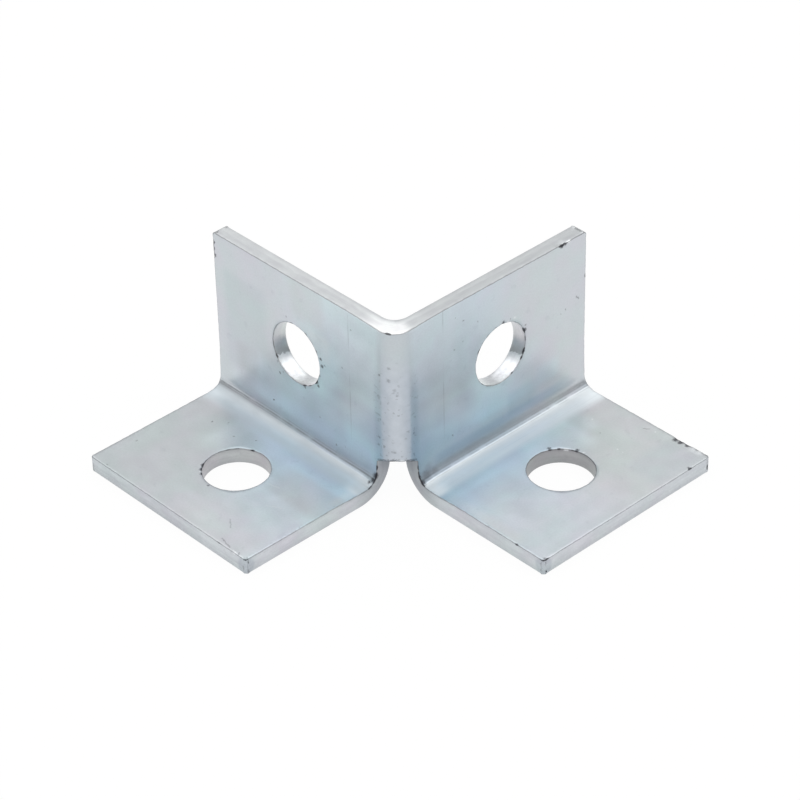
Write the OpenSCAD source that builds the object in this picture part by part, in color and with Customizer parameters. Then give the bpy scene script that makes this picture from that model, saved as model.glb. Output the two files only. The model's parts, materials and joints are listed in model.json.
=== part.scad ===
// Strut channel corner connector, folded from one punched steel sheet.
// Two walls meet in an upright fold and clasp the outside corner of a post.
// Each wall turns outward at its foot into a flange that lies on the base plane.
// A relief slot under the fold lets the three bends meet without tearing.

/* [Sheet] */
// Thickness of the steel sheet
sheet_t = 3.5; // [2.5:0.1:4.5]
// Radius of the blank's outer corners
blank_corner_r = 0.6; // [0.3:0.1:4]

/* [Walls] */
// Height of the walls above the base plane
wall_h = 41.3; // [36:0.1:80]
// Width of each wall and flange, from the relief slot to the free end
tab_w = 47.5; // [40:0.1:90]
// Outside radius of the upright fold between the two walls
fold_outer_r = 4; // [2:0.1:5.5]
// Inside radius of the upright fold
fold_inner_r = 3.3; // [1:0.1:6]

/* [Flanges] */
// Reach of each flange, from its wall's front face to its outer edge
flange_reach = 35.1; // [30:0.1:80]
// Radius in the inner corner of each flange bend
bend_inner_r = 2; // [0.5:0.1:4]
// Radius round the outside of each flange bend
bend_outer_r = 8.3; // [5:0.1:9]

/* [Relief slot] */
// Setback of each wall's foot from the other wall's front face
slot_setback = 5.6; // [4.2:0.1:8]
// Height of the slot's crown above the base plane
slot_crown_h = 10.5; // [7:0.1:14]
// Rise of the slot's arched top between its two ends
slot_rise = 1.6; // [0.4:0.1:2.6]

/* [Bolt holes] */
// Diameter of the bolt holes
bolt_hole_d = 14; // [8:0.1:17]
// Drop of each wall hole below the wall's top edge
wall_hole_drop = 18; // [12:0.1:20]
// Inset of each flange hole from the flange's outer edge
flange_hole_inset = 18; // [12:0.1:20]
// Distance of all holes from the free end of their tab
hole_end_gap = 24.2; // [12:0.1:30]

/* [Hidden] */
$fn = 96;
zinc = [0.77, 0.79, 0.82];

// Distance from a wall's front face to the free end of the other wall
wall_end = slot_setback + tab_w;
// Place of the virtual corner of the two front faces, with the part centred on its box
front_corner = (flange_reach - wall_end) / 2;
// Place of all holes along their tab, and of each hole across it
hole_along = wall_end - hole_end_gap;
wall_hole_z = wall_h - wall_hole_drop;
flange_hole_out = flange_reach - flange_hole_inset;
// Plan size of the square that holds the whole fold
fold_span = max(slot_setback, fold_outer_r, sheet_t + fold_inner_r);
// The slot's arch passes through both lower corners and the crown
slot_half_w = slot_setback / sqrt(2);
slot_arch_r = (slot_half_w * slot_half_w + slot_rise * slot_rise) / (2 * slot_rise);
// Extra length of every cutting tool past the face that it cuts
overcut = 2;

// Quarter plane outside a rounded corner: x and y run on for a given length
module rounded_corner(length, r) {
    translate([r, 0]) square([length - r, length]);
    translate([0, r]) square([length, length - r]);
    translate([r, r]) circle(r);
}

// Waste at a square corner that leaves a round of radius r, centred on the origin's diagonal
module corner_waste(r, depth) {
    translate([0, 0, -overcut]) linear_extrude(depth + 2 * overcut) difference() {
        translate([-overcut, -overcut]) square(r + overcut);
        translate([r, r]) circle(r);
    }
}

// Section of a wall with its flange: the flange points to -X and the wall stands on the Y axis
module tab_section() {
    intersection() {
        translate([-flange_reach, 0]) square([flange_reach + sheet_t, wall_h]);
        difference() {
            translate([sheet_t, 0]) mirror([1, 0])
                rounded_corner(flange_reach + sheet_t + wall_h, bend_outer_r);
            translate([0, sheet_t]) mirror([1, 0])
                rounded_corner(flange_reach + sheet_t + wall_h, bend_inner_r);
        }
    }
}

// One wall and its flange, with rounded blank corners, along the Y axis from the slot to the free end
module tab() {
    difference() {
        translate([0, wall_end, 0]) rotate([90, 0, 0]) linear_extrude(tab_w) tab_section();
        translate([0, wall_end, wall_h]) rotate([0, 90, 0]) mirror([0, 1, 0])
            corner_waste(blank_corner_r, sheet_t);
        translate([-flange_reach, wall_end, 0]) mirror([0, 1, 0])
            corner_waste(blank_corner_r, sheet_t);
        translate([-flange_reach, slot_setback, 0])
            corner_waste(blank_corner_r, sheet_t);
    }
}

// Plan of the upright fold, with the two front faces on the axes
module fold_plan() {
    intersection() {
        square(fold_span);
        difference() {
            rounded_corner(2 * fold_span, fold_outer_r);
            translate([sheet_t, sheet_t]) rounded_corner(2 * fold_span, fold_inner_r);
        }
    }
}

// Arched slot seen along the corner's diagonal, open at the base
module slot_profile() {
    translate([0, slot_crown_h - slot_arch_r]) circle(slot_arch_r);
    translate([-slot_arch_r, -overcut - slot_arch_r])
        square([2 * slot_arch_r, slot_crown_h + overcut]);
}

// Upright fold between the two walls, cut off below by the relief slot
module upright_fold() {
    difference() {
        linear_extrude(wall_h) fold_plan();
        rotate([0, 0, -45]) translate([0, 2 * fold_span, 0]) rotate([90, 0, 0])
            linear_extrude(4 * fold_span) slot_profile();
    }
}

// Bolt holes of one tab: one through the wall and one through its flange
module tab_holes() {
    translate([-overcut, hole_along, wall_hole_z]) rotate([0, 90, 0])
        cylinder(d = bolt_hole_d, h = sheet_t + 2 * overcut);
    translate([-flange_hole_out, hole_along, -overcut])
        cylinder(d = bolt_hole_d, h = sheet_t + 2 * overcut);
}

// The same shape on both walls, mirrored about the corner's diagonal plane
module both_sides() {
    children();
    mirror([1, -1, 0]) children();
}

// The whole folded sheet
module corner_connector() {
    color(zinc) translate([front_corner, front_corner, 0]) difference() {
        union() {
            both_sides() tab();
            upright_fold();
        }
        both_sides() tab_holes();
    }
}

corner_connector();
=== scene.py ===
"""Zinc-plated strut channel corner connector: one punched steel sheet, folded three times."""
import json
import logging
import math
from dataclasses import dataclass
from enum import Enum

import bmesh
import bpy
from bmesh.types import BMEdge, BMesh, BMFace, BMLayerItem, BMVert
from bpy.types import Material, Node, NodeSocket, NodeTree, Object
from mathutils import Euler, Matrix, Vector, noise


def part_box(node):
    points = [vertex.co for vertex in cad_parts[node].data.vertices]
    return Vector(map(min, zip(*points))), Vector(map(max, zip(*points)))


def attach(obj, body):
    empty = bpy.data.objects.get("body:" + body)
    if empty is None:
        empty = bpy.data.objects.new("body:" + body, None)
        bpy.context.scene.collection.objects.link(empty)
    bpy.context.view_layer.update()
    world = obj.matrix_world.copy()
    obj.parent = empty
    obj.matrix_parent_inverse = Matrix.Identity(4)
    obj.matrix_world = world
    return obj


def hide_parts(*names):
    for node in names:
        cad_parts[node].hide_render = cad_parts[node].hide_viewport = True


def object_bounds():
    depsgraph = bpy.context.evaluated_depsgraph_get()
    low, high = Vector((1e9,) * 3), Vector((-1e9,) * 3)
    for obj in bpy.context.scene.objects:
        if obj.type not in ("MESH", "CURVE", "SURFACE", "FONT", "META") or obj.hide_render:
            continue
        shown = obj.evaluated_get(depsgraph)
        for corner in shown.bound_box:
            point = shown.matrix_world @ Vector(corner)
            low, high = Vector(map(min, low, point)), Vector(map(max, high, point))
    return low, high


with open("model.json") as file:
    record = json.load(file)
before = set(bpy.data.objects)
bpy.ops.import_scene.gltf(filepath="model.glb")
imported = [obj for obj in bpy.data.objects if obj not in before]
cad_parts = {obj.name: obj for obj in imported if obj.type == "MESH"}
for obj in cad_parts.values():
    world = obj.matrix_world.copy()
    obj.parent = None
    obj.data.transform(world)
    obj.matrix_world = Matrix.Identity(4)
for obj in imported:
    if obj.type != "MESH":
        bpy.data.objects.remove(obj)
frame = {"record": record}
CAD_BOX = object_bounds()

LOG = logging.getLogger("corner_connector")
MM = 0.001
NODE = "corner_connector"
BODY = "root"
# Least upright share of the normal of a face that lies flat on the blank
FLAT_NORMAL = 0.98
# Kinds of sockets of the node groups
NUMBER = "NodeSocketFloat"
VECTOR = "NodeSocketVector"
COLOUR = "NodeSocketColor"

Triple = tuple[float, float, float]
Colour = Triple
Span = tuple[float, float, float, float]
Input = NodeSocket | Vector | tuple[float, ...] | float


class Skin(Enum):
    """Material slots of the folded sheet."""

    FACE = 0
    SHEARED = 1
    PUNCHED = 2


class Hole(Enum):
    """The four bolt holes."""

    LEFT_WALL = "left wall hole"
    LEFT_FLANGE = "left flange hole"
    RIGHT_WALL = "right wall hole"
    RIGHT_FLANGE = "right flange hole"


class Side(Enum):
    """Halves of the sheet on either side of the fold."""

    BOTH = "both"
    LEFT = "left"
    RIGHT = "right"


class Trait(Enum):
    """Attributes that the blank's points carry for the finishes."""

    BLANK = "blank"
    RIM = "rim"
    STAIN_AND_GLINT = "stain"


def smooth(low: float, high: float, value: float) -> float:
    """Ease from 0 at low to 1 at high."""
    share = min(max((value - low) / (high - low), 0.0), 1.0)
    return share * share * (3.0 - 2.0 * share)


def settle(bm: BMesh, name: str) -> Object:
    """Turn a finished mesh into an object of the scene.

    Args:
        bm: the mesh, which is freed.
        name: name of the object and its mesh.

    Returns:
        The object.
    """
    mesh = bpy.data.meshes.new(name)
    bm.to_mesh(mesh)
    bm.free()
    piece = bpy.data.objects.new(name, mesh)
    bpy.context.scene.collection.objects.link(piece)
    return piece


@dataclass(frozen=True)
class SheetSizes:
    """Sizes of the folded sheet in metres, measured from the corner of the two front faces."""

    front_corner: float
    wall_h: float
    wall_end: float
    flange_reach: float
    sheet_t: float
    hole_r: float
    hole_along: float
    wall_hole_z: float
    flange_hole_out: float
    fold_outer_r: float = 4.0 * MM
    fold_inner_r: float = 3.3 * MM
    bend_outer_r: float = 8.3 * MM
    bend_r: float = 2.6 * MM
    bend_ease: float = 3.2 * MM
    bend_lean: float = math.radians(2.5)
    bend_lean_h: float = 12.0 * MM
    slot_setback: float = 5.6 * MM
    slot_crown_h: float = 10.5 * MM
    slot_rise: float = 1.6 * MM
    fold_dip: float = 0.3 * MM
    slot_droop: float = 0.3 * MM

    @classmethod
    def from_frame(cls) -> "SheetSizes":
        """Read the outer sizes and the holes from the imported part.

        Returns:
            The sizes that the press and the blank work from.
        """
        low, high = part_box(NODE)
        mounts = {mount["name"]: mount for mount in frame["record"]["mounts"]}
        wall_hole = mounts["left_wall_hole"]
        flange_hole = mounts["left_flange_hole"]
        sheet_t = wall_hole["dims"]["length_mm"] * MM
        corner = wall_hole["pos_m"][0] - sheet_t / 2
        return cls(
            front_corner=corner,
            wall_h=high[2],
            wall_end=high[0] - corner,
            flange_reach=corner - low[0],
            sheet_t=sheet_t,
            hole_r=wall_hole["dims"]["r_mm"] * MM,
            hole_along=wall_hole["pos_m"][1] - corner,
            wall_hole_z=wall_hole["pos_m"][2],
            flange_hole_out=corner - flange_hole["pos_m"][0],
        )


class Sweep:
    """Front curve of a flange bend: the wall leans out, turns in an arc and eases on to the flange."""

    steps: int = 140

    def __init__(self, radius: float, ease: float, lean: float, lean_h: float) -> None:
        """Walk the curve back from the flange to the upright wall.

        Args:
            radius: radius of the arc.
            ease: length on the flange over which the arc's curvature builds up.
            lean: angle of the wall at the top of the arc.
            lean_h: height over which the wall takes up that angle.
        """
        arc = radius * (math.pi / 2 - lean) + ease / 2
        self.length = arc + lean_h
        point = Vector((0.0, 0.0))
        self.points = [point.copy()]
        for step in range(self.steps):
            way = (step + 0.5) / self.steps * self.length
            upright = math.pi / 2 - lean * (1.0 - smooth(0.0, lean_h, way - arc))
            eased = min(way, ease)
            turn = min((way - eased + eased * eased / (2 * ease)) / radius, upright)
            point += Vector((math.cos(turn), math.sin(turn))) * self.length / self.steps
            self.points.append(point.copy())
        self.run, self.rise = self.points[-1]

    def at(self, way: float) -> Vector:
        """Give a point of the curve.

        Args:
            way: distance along the curve from the flange.

        Returns:
            The point as (run towards the wall, rise above the flange).
        """
        spot = min(max(way / self.length, 0.0), 1.0) * self.steps
        index = min(int(spot), self.steps - 1)
        return self.points[index].lerp(self.points[index + 1], spot - index)


class Press:
    """Folds a point of the flat blank to its place on the finished part.

    On the blank, x runs along the walls from the middle of the fold, y runs down from the top edge
    and out along the flange, and z is 0 on the front face and minus the thickness on the back.
    """

    weld: float = 0.4 * MM
    sag_height: float = 5.0 * MM
    sag_beside: float = 3.0 * MM
    dip_near: float = 1.5 * MM
    dip_far: float = 13.0 * MM
    dip_height: float = 7.0 * MM
    droop_beside: float = 4.5 * MM
    droop_before: float = 1.2 * MM
    droop_after: float = 1.3 * MM
    droop_fade: float = 7.0 * MM

    def __init__(self, size: SheetSizes) -> None:
        """Work out where the bends lie on the blank.

        Args:
            size: sizes of the folded part.
        """
        self.size = size
        self.sweep = Sweep(size.bend_r, size.bend_ease, size.bend_lean, size.bend_lean_h)
        inner = size.bend_outer_r - size.sheet_t
        self.fold_half = size.fold_outer_r * math.pi / 4
        self.slot_edge = self.fold_half + size.slot_setback - size.fold_outer_r
        self.free_end = self.fold_half + size.wall_end - size.fold_outer_r
        self.slot_top = size.wall_h - size.slot_crown_h
        self.bend_start = size.wall_h - size.bend_outer_r
        self.sweep_start = size.wall_h - size.sheet_t - self.sweep.rise
        self.sweep_end = self.sweep_start + self.sweep.length
        self.bend_end = self.sweep_end + inner - self.sweep.run
        self.bend_line = self.sweep_end - size.bend_r * math.pi / 4 - size.bend_ease / 2
        self.flange_edge = self.bend_end + size.flange_reach - inner
        self.hole_x = self.fold_half + size.hole_along - size.fold_outer_r
        self.wall_hole_y = size.wall_h - size.wall_hole_z
        self.flange_hole_y = self.flange_edge - (size.flange_reach - size.flange_hole_out)
        self.fillet_centre = size.sheet_t + size.fold_inner_r
        self.slot_half = size.slot_setback / math.sqrt(2)
        self.arch_r = (self.slot_half ** 2 + size.slot_rise ** 2) / (2 * size.slot_rise)

    def section(self, down: float) -> tuple[Vector, Vector]:
        """Give the front and back point of the sheet's section.

        Args:
            down: distance from the top edge along the front face.

        Returns:
            The two points as (across, height), with the flange on the negative side.
        """
        size = self.size
        if down <= self.sweep_start:
            front = Vector((0.0, size.wall_h - down))
        elif down <= self.sweep_end:
            curve = self.sweep.at(self.sweep_end - down)
            front = Vector((curve.x - self.sweep.run, size.sheet_t + curve.y))
        else:
            front = Vector((self.sweep_end - down - self.sweep.run, size.sheet_t))
        if down <= self.bend_start:
            back = Vector((size.sheet_t, size.wall_h - down))
        elif down <= self.bend_end:
            angle = (down - self.bend_start) / (self.bend_end - self.bend_start) * math.pi / 2
            back = Vector((size.sheet_t - size.bend_outer_r * (1.0 - math.cos(angle)),
                           size.bend_outer_r * (1.0 - math.sin(angle))))
        else:
            back = Vector((front.x, 0.0))
        return front, back

    def fold_plan(self, reach: float) -> tuple[Vector, Vector]:
        """Give the front and back plan point of the upright fold.

        Args:
            reach: distance from the fold's middle along the front face, up to the slot's edge.

        Returns:
            The two points as (across, along) of the left wall.
        """
        size = self.size
        if reach < self.fold_half:
            angle = math.pi * 5 / 4 - reach / size.fold_outer_r
            front = Vector((math.cos(angle) + 1.0, math.sin(angle) + 1.0)) * size.fold_outer_r
        else:
            front = Vector((0.0, size.fold_outer_r + reach - self.fold_half))
        last = math.asin((self.fillet_centre - size.slot_setback) / size.fold_inner_r)
        turn = math.pi / 4 + (last - math.pi / 4) * reach / self.slot_edge
        back = Vector((self.fillet_centre - size.fold_inner_r * math.cos(turn),
                       self.fillet_centre - size.fold_inner_r * math.sin(turn)))
        return front, back

    def fillet(self, along: float) -> float:
        """Give the extra thickness of the wall's back at a distance from the front corner."""
        gap = max(self.fillet_centre - along, 0.0)
        return self.size.fold_inner_r - math.sqrt(self.size.fold_inner_r ** 2 - gap ** 2)

    def slot_sag(self, place: Vector, reach: float) -> float:
        """Give how far the slot's arched top drops a point near it.

        Args:
            place: folded point before the drop.
            reach: distance of the point from the fold's middle on the blank.

        Returns:
            The drop, which fades out above, below and beside the slot.
        """
        offset = min(abs(place.x - place.y) / math.sqrt(2), self.slot_half)
        drop = self.arch_r - math.sqrt(self.arch_r ** 2 - offset ** 2)
        above = 1.0 - smooth(0.0, self.sag_height, abs(place.z - self.size.slot_crown_h))
        beside = 1.0 - smooth(0.0, self.sag_beside, reach - self.slot_edge)
        return drop * above * beside

    def draw_in(self, down: float, reach: float) -> float:
        """Give how far the front face sinks where the folding pulled on it.

        Args:
            down: distance of the point from the top edge.
            reach: distance of the point from the fold's middle.

        Returns:
            The drop at the fold's top edge and at the slot's ends of the flange bends.
        """
        by_fold = 1.0 - smooth(self.dip_near, self.dip_far, reach)
        at_top = by_fold * (1.0 - smooth(0.0, self.dip_height, down))
        by_slot = 1.0 - smooth(0.0, self.droop_beside, reach - self.slot_edge)
        in_bend = smooth(self.bend_line - self.droop_before, self.bend_line + self.droop_after, down)
        past_bend = smooth(self.bend_end, self.bend_end + self.droop_fade, down)
        return self.size.fold_dip * at_top + self.size.slot_droop * by_slot * in_bend * (1.0 - past_bend)

    def place(self, flat: Vector) -> Vector:
        """Fold one point.

        Args:
            flat: point on the blank.

        Returns:
            The point on the part, in the row frame.
        """
        size = self.size
        reach = abs(flat.x)
        depth = -flat.z / size.sheet_t
        front, back = self.section(flat.y)
        height = front.y + (back.y - front.y) * depth
        if reach < self.slot_edge and flat.y < self.slot_top + self.weld:
            plan_front, plan_back = self.fold_plan(reach)
        else:
            along = size.fold_outer_r + reach - self.fold_half
            fill = self.fillet(along) * smooth(size.slot_crown_h - MM, size.slot_crown_h + MM, height)
            plan_front = Vector((front.x, along))
            plan_back = Vector((back.x + fill, along))
        plan = plan_front + (plan_back - plan_front) * depth
        point = Vector((plan.x, plan.y, height))
        point.z -= self.slot_sag(point, reach) + self.draw_in(flat.y, reach) * (1.0 - depth)
        if flat.x > 0.0:
            point.x, point.y = point.y, point.x
        point += Vector((size.front_corner, size.front_corner, 0.0))
        low, high = CAD_BOX
        return Vector(min(max(value, least), most) for value, least, most in zip(point, low, high))


@dataclass(frozen=True)
class Mark:
    """A nick, burr or dirty spot on a straight edge, in millimetres from the fold's middle and the top edge;
    a negative darkness paints a glint on a burr.
    """

    x: float
    y: float
    size: float
    stain: float
    push: float = 0.0
    lift: float = 0.0
    spot: float = 0.0


@dataclass(frozen=True)
class RimMark:
    """A mark on a hole's front rim, at an hour of a clock whose 12 points to the wall's top edge; a negative
    darkness paints a glint on a burr.
    """

    hour: float
    size: float
    stain: float
    out: float = 0.0
    spot: float = 0.0

    def on(self, centre: Vector, radius: float) -> Mark:
        """Give the mark's place on the blank.

        Args:
            centre: the hole's centre.
            radius: the hole's radius.

        Returns:
            The mark in millimetres of the blank.
        """
        angle = self.hour / 6.0 * math.pi
        place = centre / MM + Vector((math.sin(angle), -math.cos(angle), 0.0)) * (radius / MM + self.out)
        return Mark(place.x, place.y, self.size, self.stain, spot=self.spot)


# Depth of the dark fleck at an edge mark, as a share of the mark's darkness; a negative darkness gives a
# painted glint
EDGE_FLECK_DEPTH = 0.85
# Marks with a negative fourth value are burrs painted with a bright glint instead of dark dirt
EDGE_MARKS = (
    # chip on the left wall's free end
    Mark(-52, 2.3, 0.6, 1, push=-0.1, spot=0.5), Mark(-52, 3.8, 1, 0.9, spot=0.4),
    Mark(-52, 5.4, 0.8, 1, push=-0.15, spot=0.65),
    # notch with a raised burr in the right wall's top edge, and a tick on its free end
    Mark(45.3, 0.2, 0.8, 1, push=-0.3, spot=0.7), Mark(46.3, 0.3, 0.5, 0.9, spot=0.35),
    Mark(47.2, 0.1, 0.6, -0.8, lift=0.15, spot=0.5), Mark(52.1, 10.6, 0.5, 0.9, spot=0.35),
    # nicks and a ragged burr on the right flange's free end, and a nick in its outer edge
    Mark(51.7, 62.7, 0.8, 1, push=-0.3, spot=0.9), Mark(51.7, 64, 0.8, 1, push=-0.3, spot=0.85),
    Mark(51.9, 65.7, 0.7, 0.95, push=-0.2, spot=0.7), Mark(52, 67.2, 0.5, -0.8, lift=0.1, spot=0.4),
    Mark(52, 68, 0.4, 0.5, spot=0.25), Mark(52, 68.8, 0.5, -0.8, lift=0.1, spot=0.4),
    Mark(52.1, 70.4, 0.6, 0.7), Mark(46.5, 71, 0.5, 0.9, push=-0.2, spot=0.45),
    Mark(4.9, 64, 0.5, 0.8, spot=0.3),
    # left flange's burr, painted with a glint, and dirt on both front corners
    Mark(-12.6, 71.1, 0.6, 0.5), Mark(-8.2, 71.3, 0.4, -0.6, lift=0.06), Mark(-5, 71.2, 0.6, 0.6),
    Mark(5.5, 71, 0.8, 0.8, push=-0.15, spot=0.4),
    # torn metal where the bends meet the slot
    Mark(-4.8, 33.2, 1.2, 0.8), Mark(-4.9, 35.9, 0.9, 1, spot=1), Mark(-5.2, 37, 0.6, 1, spot=0.7),
    Mark(-5.8, 37.6, 0.4, 0.95, spot=0.5), Mark(-5, 38.4, 0.6, 0.7), Mark(4.8, 33.2, 1.4, 0.6),
    Mark(4.8, 35.6, 1.2, 0.7), Mark(5.1, 37.4, 0.8, 0.95, spot=0.85), Mark(4.9, 36.2, 0.6, 0.9, spot=0.5),
    # slot's top and the fold's top edge
    Mark(-3.7, 30.5, 0.9, 0.5, spot=0.3), Mark(-2.1, 30.6, 0.7, 0.4, push=0.1, spot=0.25),
    Mark(-0.8, 30.5, 0.7, 0.7, spot=0.35), Mark(0.4, 30.3, 0.5, 0.6, spot=0.3),
    Mark(1, 30.5, 0.5, -0.8, push=0.2, spot=0.35), Mark(1.7, 30.4, 0.6, 0.7, spot=0.35),
    Mark(2.6, 30.5, 0.6, 0.5, spot=0.3), Mark(3.5, 30.4, 0.9, 0.7, push=0.1, spot=0.4),
    Mark(-1.2, 0, 0.6, 0.9),
)
# Rim marks with a negative third value are burrs painted with a bright glint
HOLE_MARKS = {
    Hole.LEFT_WALL: (
        RimMark(8.7, 1.4, 0.4), RimMark(8, 0.7, 0.7, spot=0.4), RimMark(7.7, 0.4, 0.5, out=0.5, spot=0.3),
        RimMark(7.2, 0.4, 0.8, out=2, spot=0.4), RimMark(7.1, 0.6, 0.5, out=0.8, spot=0.3),
        RimMark(6.4, 1.5, 0.35), RimMark(5.4, 0.6, 0.9, out=0.3, spot=0.45), RimMark(4.9, 0.6, 0.6),
        RimMark(4.1, 0.9, 1, out=0.1, spot=0.65), RimMark(4.2, 0.4, 0.9, out=0.9, spot=0.5),
        RimMark(3.5, 0.9, 0.6, out=0.3, spot=0.3), RimMark(2.8, 0.6, 1, out=0.8, spot=0.6),
        RimMark(2.7, 0.4, 0.5, out=1.6, spot=0.4), RimMark(2.4, 0.6, 0.95, out=0.8, spot=0.5),
        RimMark(2, 0.8, 0.6, out=0.2, spot=0.3), RimMark(1.4, 0.9, 0.5), RimMark(0.9, 0.6, 0.8, spot=0.45),
        RimMark(11.7, 0.5, 0.7, spot=0.3), RimMark(11.4, 0.3, 0.5, out=1.2, spot=0.3),
    ),
    Hole.RIGHT_WALL: (
        RimMark(10, 0.9, 0.9, spot=0.5), RimMark(10.5, 0.6, 0.6), RimMark(11, 0.6, 0.7, spot=0.3),
        RimMark(11.6, 0.7, 0.6, spot=0.3), RimMark(0.2, 0.6, 0.95, out=0.3, spot=0.5),
        RimMark(0.6, 0.6, -0.7, out=0.1, spot=0.4), RimMark(0.7, 0.4, 0.5, out=0.7, spot=0.3),
        RimMark(1, 0.5, -0.9, out=0.9, spot=0.5), RimMark(2.3, 0.8, 1, out=0.3, spot=0.65),
        RimMark(2.1, 0.4, 0.7, out=0.9, spot=0.35), RimMark(2.9, 0.9, 0.5),
        RimMark(3.7, 0.8, 0.9, spot=0.45), RimMark(4.1, 0.6, 0.7, spot=0.35),
        RimMark(5.1, 0.4, 0.6, spot=0.25), RimMark(7, 1.4, 0.45), RimMark(7.6, 0.5, 0.5),
    ),
    Hole.LEFT_FLANGE: (
        RimMark(9.4, 0.7, 0.4), RimMark(9.9, 0.7, 0.4), RimMark(10.4, 0.8, 0.45),
        RimMark(11.3, 0.5, 0.8, spot=0.4), RimMark(8.3, 0.6, 0.5),
        RimMark(7.9, 0.9, 0.8, out=0.1, spot=0.6), RimMark(7.5, 0.6, 0.8, out=0.2, spot=0.5),
        RimMark(7.3, 0.3, -0.8, out=0.3, spot=0.35), RimMark(7.1, 0.6, 0.85, out=0.1, spot=0.5),
        RimMark(6, 0.4, 0.75, out=0.5, spot=0.45), RimMark(3.4, 0.9, 0.4),
    ),
    Hole.RIGHT_FLANGE: (
        RimMark(0.9, 0.6, 0.95, out=0.5, spot=0.6), RimMark(1.4, 0.5, 0.6, spot=0.3),
        RimMark(1.8, 0.6, -0.7, spot=0.3), RimMark(2.2, 0.4, 0.5),
        RimMark(2.4, 0.6, 0.95, out=0.4, spot=0.6), RimMark(2.8, 0.5, -0.8, out=0.5, spot=0.4),
        RimMark(9.5, 0.9, 0.3),
    ),
}


@dataclass(frozen=True)
class Fleck:
    """A small dark spot on the front face, or a painted glint where its depth is negative."""

    x: float
    y: float
    width: float
    depth: float


@dataclass(frozen=True)
class Scratch:
    """A straight dark scratch on the front face, or a painted glint where its depth is negative."""

    x: float
    y: float
    to_x: float
    to_y: float
    width: float
    depth: float


FACE_FLECKS = (
    # left wall
    Fleck(-35.5, 33, 0.3, 0.9), Fleck(-14.3, 14.5, 0.25, 0.7), Fleck(-11.4, 4.1, 0.3, 0.4),
    Fleck(-21.5, 30.2, 0.35, 0.4), Fleck(-16.6, 34.5, 0.3, 0.5), Fleck(-14, 33.6, 0.25, 0.4),
    # right wall
    Fleck(46.6, 16.2, 0.3, 0.6), Fleck(45.2, 16.6, 0.2, 0.4), Fleck(17.8, 5, 0.3, 0.6),
    Fleck(21.7, 7.1, 0.3, 0.4), Fleck(15.6, 3.3, 0.3, 0.35), Fleck(15.2, 10.7, 0.25, 0.5),
    Fleck(17.6, 9.8, 0.2, 0.4), Fleck(14.4, 31, 0.3, 0.5),
    # left flange
    Fleck(-43.8, 46.2, 0.35, 0.6), Fleck(-41.1, 44.1, 0.25, 0.4), Fleck(-36.8, 46.4, 0.25, 0.5),
    Fleck(-32.5, 44.2, 0.25, 0.7), Fleck(-49.7, 61.4, 0.35, 0.5), Fleck(-47.7, 70.8, 0.35, 0.5),
    # fold
    Fleck(-1.2, 8.4, 0.5, 0.35), Fleck(-3.5, 10.9, 0.4, 0.5), Fleck(-1.3, 11.4, 0.55, 0.35),
    Fleck(-3.9, 26, 0.45, 0.4), Fleck(-4.2, 27.6, 0.4, 0.45), Fleck(4, 25, 0.4, 0.35),
    Fleck(3.9, 29.4, 0.35, 0.4), Fleck(-3.6, 21.5, 0.35, 0.35), Fleck(-3.8, 16.5, 0.4, 0.3),
    Fleck(-0.2, 13.5, 0.5, 0.25), Fleck(0.4, 14.8, 0.4, 0.3), Fleck(-0.3, 28.6, 0.4, 0.3),
    # smudges over the right bend beside the slot
    Fleck(6.6, 36.6, 1.5, 0.3), Fleck(8.8, 36.9, 1.3, 0.2), Fleck(7.4, 35, 1.4, 0.15),
    # right flange, with four painted glints
    Fleck(42.5, 50.3, 0.3, 0.35), Fleck(44.7, 46, 0.35, -0.5), Fleck(50.7, 58, 0.28, -0.5),
    Fleck(41, 56.6, 0.32, -0.6), Fleck(41, 58, 0.25, -0.5),
)
FACE_SCRATCHES = (
    # Scratches with a negative depth are painted glints
    Scratch(49.6, 14.5, 50.3, 15.3, 0.22, 0.5), Scratch(-16.6, 65, -14.6, 66.6, 0.2, 0.3),
    Scratch(49.8, 55.6, 50.5, 56.4, 0.2, 0.4), Scratch(-20, 52, -17.4, 51.4, 0.2, -0.35),
    Scratch(-15, 57, -12.2, 55.4, 0.18, -0.3),
    # curled burr near the left flange's front corner, with a painted glint
    Scratch(-13.2, 70, -11.9, 70.3, 0.25, 0.4), Scratch(-11.9, 70.3, -10, 70.8, 0.22, 0.35),
    Scratch(-8.8, 70.9, -7.9, 71.1, 0.28, -0.5), Scratch(-7.5, 70.6, -7, 71.2, 0.2, 0.4),
    # ragged line over the slot's top, with a painted glint on its burr
    Scratch(-4.5, 30.4, -1.6, 30.5, 0.22, 0.5), Scratch(-1.6, 30.5, 0.6, 30.4, 0.2, 0.45),
    Scratch(0.4, 30.3, 2, 30.4, 0.2, -0.4), Scratch(1.8, 30.5, 4.5, 30.4, 0.22, 0.5),
)


@dataclass(frozen=True)
class PaintedLightPatch:
    """A soft patch of painted reflection over the plating, lighter as a painted highlight or darker as
    painted shade, that comes and goes between four distances each way.
    """

    along: Span
    down: Span
    tint: Colour


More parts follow.
